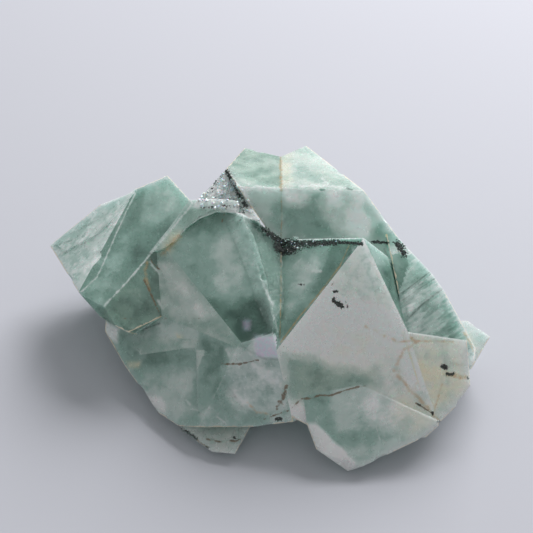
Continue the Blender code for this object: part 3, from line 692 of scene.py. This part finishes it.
fluoriteLook = {
    "tones": [(0.0, (0.066, 0.136, 0.108)), (0.25, (0.180, 0.308, 0.256)), (0.5, (0.352, 0.505, 0.448)),
              (0.75, (0.610, 0.710, 0.668)), (1.0, (1.000, 1.000, 0.985))],
    "clouds": (6.0, 5.0, 0.80),     # size in mm, detail, how far they move the tone
    "wisps": (1.7, 8.0, 0.88),
    "fine": (0.5, 6.0, 1.8),        # the last moves the tone of frosted parts
    "grit": (0.22, 3.0),
    "fan": (54, 7.0, 0.32, 1.3),    # bearing, length and width in mm, how far it moves the tone
    "rainbow": (10, 2.0, 0.25),
    # pale: colour of the painted highlights and glints, and of the white streaks
    "pale": (0.82, 0.86, 0.84),
    "frost": (0.74, 0.80, 0.80),
    "speckle": (0.92, 0.94, 0.94),
    "warm": (0.88, 0.80, 0.58),
    "rust": (0.60, 0.36, 0.14),
    "crack": (0.20, 0.12, 0.06),
    # dark green of the painted crease shade and of the striations
    "shadeAndStria": (0.07, 0.13, 0.105),
    "dark": (0.018, 0.022, 0.02),
    # colour of the painted highlight along the rim edges
    "edgeHighlight": (0.84, 0.70, 0.50),
    "sheenA": (0.80, 0.62, 0.86),
    "sheenB": (0.62, 0.74, 0.86),
    "strokes": {    # raggedness, the values at which it begins and is full, strength
        "shadeAndStria": (0.8, 0.25, 0.9, 0.8),
        "pale": (1.3, 0.28, 0.8, 0.62),
        "rust": (1.4, 0.25, 0.95, 0.62),
        "crack": (1.6, 0.40, 0.62, 0.8),
        # ridge and rim: painted highlights along the edges
        "ridge": (1.4, 0.74, 0.98, 0.24),
        "rim": (1.0, 0.74, 0.9, 0.8),
        "dark": (1.7, 0.42, 0.52, 0.95),
    },
    "frostCover": 0.5,
    "sheenCover": 0.55,
    "speckleCover": 0.85,
    "polish": (0.14, 0.30),    # roughness, from the smoothest patches to the dullest
    "frostRough": 0.22,
    "rimRough": 0.3,
    "glow": 0.7,
    "glowDepth": 0.004,        # m
    "glowReach": (0.8, 1.0, 0.95),
    "transmission": 0.3,
    "ior": 1.434,
    "absorption": (0.66, 0.86, 0.79),
    "density": 70.0,
    "grain": 0.00007,          # m, depth of the fine relief
    "frostGrain": 1.6,
}


def fluorite(look):
    item, tree, shader, output = material("fluorite")

    def plus(a, b):
        return calculate(tree, "ADD", a, b)

    def times(a, b):
        return calculate(tree, "MULTIPLY", a, b)

    def centred(value):
        return calculate(tree, "SUBTRACT", value, 0.5)

    fine = centred(mottled(tree, *look["fine"][:2], out="Raw"))
    grit = centred(mottled(tree, *look["grit"], out="Raw"))
    clouds = centred(mottled(tree, *look["clouds"][:2], out="Raw"))
    wisps = centred(mottled(tree, *look["wisps"][:2], out="Raw"))
    fan = centred(streaked(tree, *look["fan"][:3]))
    frost = field(tree, "frost")

    def stroke(name, noise):    # a line with a ragged rim
        ragged, begins, full, strength = look["strokes"][name]
        value = field(tree, name)
        near = stretch(tree, value, 0.0, 0.15)
        return stretch(tree, plus(value, times(times(noise, ragged), near)), begins, full, (0.0, strength))

    # the tone field carries painted light and shade per face besides the stone's own zoning
    tone = plus(field(tree, "tone"), times(clouds, look["clouds"][2]))
    tone = plus(tone, times(wisps, look["wisps"][2]))
    tone = plus(tone, times(times(fan, look["fan"][3]), field(tree, "fan")))
    tone = plus(tone, times(times(fine, look["fine"][2]), frost))
    colour = toneRamp(tree, stretch(tree, tone, -1.0, 1.0), look["tones"])
    colour = blend(tree, times(frost, look["frostCover"]), colour, look["frost"])
    warm = times(field(tree, "warm"), stretch(tree, wisps, -0.16, 0.16, (0.35, 1.0)))
    colour = blend(tree, warm, colour, look["warm"])
    rainbow = stretch(tree, streaked(tree, *look["rainbow"]), 0.42, 0.58)
    rainbow = blend(tree, rainbow, look["sheenA"], look["sheenB"])
    colour = blend(tree, times(field(tree, "sheen"), look["sheenCover"]), colour, rainbow)
    # dark green strokes paint shade in the creases between facets, besides dark striations
    # pale strokes: painted highlights and glints together with white streaks
    for name in ("shadeAndStria", "pale", "rust"):
        colour = blend(tree, stroke(name, fine), colour, look[name])
    speckle = times(stretch(tree, grit, 0.12, 0.17), stretch(tree, frost, 0.35, 0.8))
    colour = blend(tree, times(speckle, look["speckleCover"]), colour, look["speckle"])
    colour = blend(tree, stroke("crack", fine), colour, look["crack"])
    # painted highlights: pale along the inner ridges, warm cream along the rim
    colour = blend(tree, stroke("ridge", fine), colour, look["pale"])
    rim = stroke("rim", fine)
    colour = blend(tree, rim, colour, look["edgeHighlight"])
    colour = blend(tree, stroke("dark", grit), colour, look["dark"])
    tree.links.new(colour, shader.inputs["Base Color"])

    polish = stretch(tree, mottled(tree, 0.8, out="Raw"), 0.3, 0.7, look["polish"])
    rough = plus(polish, times(frost, look["frostRough"]))
    rough = calculate(tree, "ADD", rough, times(rim, look["rimRough"]), clamp=True)
    tree.links.new(rough, shader.inputs["Roughness"])
    shader.inputs["Transmission Weight"].default_value = look["transmission"]
    shader.inputs["IOR"].default_value = look["ior"]
    shader.inputs["Subsurface Weight"].default_value = look["glow"]
    shader.inputs["Subsurface Scale"].default_value = look["glowDepth"]
    shader.inputs["Subsurface Radius"].default_value = look["glowReach"]

    relief = add(tree, "ShaderNodeBump", Strength=0.5, Distance=look["grain"])
    frosted = times(frost, times(mottled(tree, 0.5, 5.0, out="Raw"), look["frostGrain"]))
    height = plus(mottled(tree, 1.4, 9.0, out="Raw"), frosted)
    height = plus(height, times(fan, field(tree, "fan")))
    tree.links.new(height, relief.inputs["Height"])
    tree.links.new(relief.outputs["Normal"], shader.inputs["Normal"])
    inside = add(tree, "ShaderNodeVolumeAbsorption")
    inside.inputs["Color"].default_value = (*look["absorption"], 1.0)
    inside.inputs["Density"].default_value = look["density"]
    tree.links.new(inside.outputs[0], output.inputs["Volume"])
    return item


bodyMesh.materials.append(fluorite(fluoriteLook))
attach(body, "root")
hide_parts("fluorite_cluster")
print("fluorite finished")

# grains and small crystals strewn over patches of the stone
strewn = {
    "seam_grains": {
        "patches": [
            [(262, 226), (267, 229), (275, 236), (282, 240), (300, 241), (344, 241), (346, 243), (330, 246),
             (314, 247), (302, 250), (296, 253), (290, 253), (280, 251), (276, 247), (273, 241), (266, 235),
             (262, 230)],
            [(345, 242), (362, 243), (362, 245), (348, 244)],
            [(371, 241), (388, 242), (388, 244), (372, 243)],
            [(395, 241), (404, 244), (409, 252), (402, 255), (396, 250)],
            [(224, 169), (229, 171), (247, 204), (243, 207)],
            [(205, 196), (222, 172), (224, 175), (208, 199)],
            [(165, 421), (175, 423), (174, 427), (166, 425)],
            [(177, 425), (188, 431), (197, 438), (195, 441), (184, 435)],
            [(330, 297), (338, 299), (344, 306), (340, 308), (332, 303)],
            [(441, 364), (447, 365), (447, 370), (441, 368)],
            [(446, 372), (454, 373), (454, 376), (447, 376)],
        ],
        "shape": "grain", "finish": "dark grain",
        "perMm2": 16.0, "smallest": 0.04, "largest": 0.11, "seed": 41,
    },
    "seam_crystals": {
        "patches": [
            [(263, 228), (275, 236), (282, 240), (300, 241), (338, 241), (330, 245), (314, 246), (302, 249),
             (296, 252), (286, 252), (276, 247), (267, 235)],
            [(395, 241), (404, 244), (409, 252), (402, 255), (396, 250)],
        ],
        "shape": "crystal", "finish": "pale crystal",
        "perMm2": 3.0, "smallest": 0.06, "largest": 0.15, "seed": 7,
    },
    "druse_crystals": {
        "patches": [
            [(191, 208), (226, 168), (245, 194), (262, 224), (254, 222), (240, 211), (217, 209)],
        ],
        "shape": "crystal", "finish": "pale crystal",
        "perMm2": 3.2, "smallest": 0.10, "largest": 0.34, "seed": 12,
    },
    "sparkles": {
        "patches": [
            [(350, 244), (362, 244), (376, 284), (366, 300), (354, 286), (346, 262)],
            [(262, 282), (268, 284), (276, 304), (272, 306)],
            [(224, 376), (240, 366), (284, 356), (286, 384), (262, 408)],
        ],
        "shape": "crystal", "finish": "pale crystal",
        "perMm2": 1.6, "smallest": 0.03, "largest": 0.08, "seed": 3,
    },
}

grainLook = {
    "dark grain": {"low": (0.012, 0.014, 0.014), "high": (0.09, 0.10, 0.095), "rough": 0.35, "glow": 0.0},
    "pale crystal": {"low": (0.55, 0.62, 0.64), "high": (0.88, 0.91, 0.93), "rough": 0.12, "glow": 0.4},
}


def grainFinish(name, look):
    item, tree, shader, _ = material(name)
    colour = blend(tree, mottled(tree, 0.35, 4.0), look["low"], look["high"])
    tree.links.new(colour, shader.inputs["Base Color"])
    polish = (look["rough"], look["rough"] + 0.25)
    rough = stretch(tree, mottled(tree, 0.2, 3.0, out="Raw"), 0.3, 0.7, polish)
    tree.links.new(rough, shader.inputs["Roughness"])
    shader.inputs["IOR"].default_value = fluoriteLook["ior"]
    shader.inputs["Subsurface Weight"].default_value = look["glow"]
    shader.inputs["Subsurface Scale"].default_value = 0.0008
    return item


def strewTree(name, shape):    # points at random over a patch, one small solid turned at random on each
    tree = bpy.data.node_groups.new(name, "GeometryNodeTree")
    named = {}
    for label, kind in (("Patch", "Geometry"), ("Per square metre", "Float"), ("Smallest", "Float"),
                        ("Largest", "Float"), ("Seed", "Int"), ("Finish", "Material")):
        socket = tree.interface.new_socket(label, in_out="INPUT", socket_type="NodeSocket" + kind)
        named[label] = socket.identifier
    tree.interface.new_socket("Grains", in_out="OUTPUT", socket_type="NodeSocketGeometry")
    source = tree.nodes.new("NodeGroupInput")
    sink = tree.nodes.new("NodeGroupOutput")
    points = tree.nodes.new("GeometryNodeDistributePointsOnFaces")
    points.distribute_method = "RANDOM"
    if shape == "crystal":
        solid = tree.nodes.new("GeometryNodeMeshUVSphere")
        solid.inputs["Segments"].default_value = 4
        solid.inputs["Rings"].default_value = 2
    else:
        solid = tree.nodes.new("GeometryNodeMeshIcoSphere")
        solid.inputs["Subdivisions"].default_value = 1
    solid.inputs["Radius"].default_value = 1.0
    turnBy = tree.nodes.new("FunctionNodeRandomValue")
    turnBy.data_type = "FLOAT_VECTOR"
    turnBy.inputs["Max"].default_value = (6.283, 6.283, 6.283)    # a full turn about each axis
    uneven = tree.nodes.new("FunctionNodeRandomValue")
    uneven.data_type = "FLOAT_VECTOR"
    uneven.inputs["Min"].default_value = (0.7, 0.7, 0.7)
    uneven.inputs["Max"].default_value = (1.2, 1.2, 1.2)
    size = tree.nodes.new("FunctionNodeRandomValue")
    size.data_type = "FLOAT"
    scale = tree.nodes.new("ShaderNodeVectorMath")
    scale.operation = "SCALE"
    placed = tree.nodes.new("GeometryNodeInstanceOnPoints")
    whole = tree.nodes.new("GeometryNodeRealizeInstances")
    finish = tree.nodes.new("GeometryNodeSetMaterial")
    sizeLow = [socket for socket in size.inputs if socket.name == "Min" and socket.type == "VALUE"][0]
    sizeHigh = [socket for socket in size.inputs if socket.name == "Max" and socket.type == "VALUE"][0]
    sizeOut = [socket for socket in size.outputs if socket.type == "VALUE"][0]
    for a, b in (
            (source.outputs["Patch"], points.inputs["Mesh"]),
            (source.outputs["Per square metre"], points.inputs["Density"]),
            (source.outputs["Seed"], points.inputs["Seed"]),
            (source.outputs["Seed"], size.inputs["Seed"]),
            (source.outputs["Smallest"], sizeLow),
            (source.outputs["Largest"], sizeHigh),
            (uneven.outputs["Value"], scale.inputs["Vector"]),
            (sizeOut, scale.inputs["Scale"]),
            (points.outputs["Points"], placed.inputs["Points"]),
            (solid.outputs["Mesh"], placed.inputs["Instance"]),
            (turnBy.outputs["Value"], placed.inputs["Rotation"]),
            (scale.outputs["Vector"], placed.inputs["Scale"]),
            (placed.outputs["Instances"], whole.inputs["Geometry"]),
            (whole.outputs["Geometry"], finish.inputs["Geometry"]),
            (source.outputs["Finish"], finish.inputs["Material"]),
            (finish.outputs["Geometry"], sink.inputs["Grains"])):
        tree.links.new(a, b)
    return tree, named


def patchMesh(name, outlines):    # the triangles of the stone that are seen inside the outlines
    middleSpots = toPhoto(middles)
    inside = np.zeros(len(middles), bool)
    for outline in outlines:
        inside |= awayFromRim(middleSpots, outline, 3) < 0
    chosen = np.nonzero(inside & (faceNormals @ towardEye > 0.1))[0]
    corners = cornerOf.reshape(-1, 3)[chosen]
    used, faces = np.unique(corners, return_inverse=True)
    mesh = bpy.data.meshes.new(name)
    mesh.from_pydata((points[used] * mm).tolist(), [], faces.reshape(-1, 3).tolist())
    return mesh


trees = {shape: strewTree("strewn " + shape, shape) for shape in ("grain", "crystal")}
finishes = {name: grainFinish(name, look) for name, look in grainLook.items()}
for name, look in strewn.items():
    tree, named = trees[look["shape"]]
    piece = bpy.data.objects.new(name, patchMesh(name, look["patches"]))
    bpy.context.scene.collection.objects.link(piece)
    strew = piece.modifiers.new("strew", "NODES")
    strew.node_group = tree
    strew[named["Per square metre"]] = look["perMm2"] * 1e6
    strew[named["Smallest"]] = look["smallest"] * mm
    strew[named["Largest"]] = look["largest"] * mm
    strew[named["Seed"]] = look["seed"]
    strew[named["Finish"]] = finishes[look["finish"]]
    grains = bpy.data.meshes.new_from_object(piece.evaluated_get(bpy.context.evaluated_depsgraph_get()))
    piece.modifiers.remove(strew)
    piece.data = grains
    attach(piece, "root")
    print(name, "strewn:", len(grains.polygons), "faces")

# floor, light and world
studio = {
    "floorSize": 3.0,    # m
    "floor": (0.462, 0.462, 0.502),
    "keyPower": 1.98,
    "keyPlace": (0.138, 0.252, 0.236),
    "keySize": (0.26, 0.22),
    "world": (0.84, 0.875, 0.88),
    "worldStrength": 0.55,
}


def buildStudio(look):
    bm = bmesh.new()
    bmesh.ops.create_grid(bm, x_segments=2, y_segments=2, size=look["floorSize"] / 2)
    mesh = bpy.data.meshes.new("floor")
    bm.to_mesh(mesh)
    bm.free()
    floor = bpy.data.objects.new("floor", mesh)
    bpy.context.scene.collection.objects.link(floor)
    item, tree, shader, _ = material("floor")
    shader.inputs["Base Color"].default_value = (*look["floor"], 1.0)
    shader.inputs["Roughness"].default_value = 0.9
    mesh.materials.append(item)
    lamp = bpy.data.lights.new("key", "AREA")
    lamp.shape = "RECTANGLE"
    lamp.size, lamp.size_y = look["keySize"]
    lamp.energy = look["keyPower"]
    lamp.color = (0.985, 0.985, 1.0)
    key = bpy.data.objects.new("key", lamp)
    key.location = look["keyPlace"]
    key.rotation_euler = (-Vector(look["keyPlace"])).to_track_quat("-Z", "Y").to_euler()
    bpy.context.scene.collection.objects.link(key)
    world = bpy.data.worlds.new("studio")
    world.use_nodes = True
    world.node_tree.nodes["Background"].inputs["Color"].default_value = (*look["world"], 1.0)
    world.node_tree.nodes["Background"].inputs["Strength"].default_value = look["worldStrength"]
    bpy.context.scene.world = world
    bpy.context.scene.view_settings.view_transform = "Standard"


buildStudio(studio)
print("studio built")
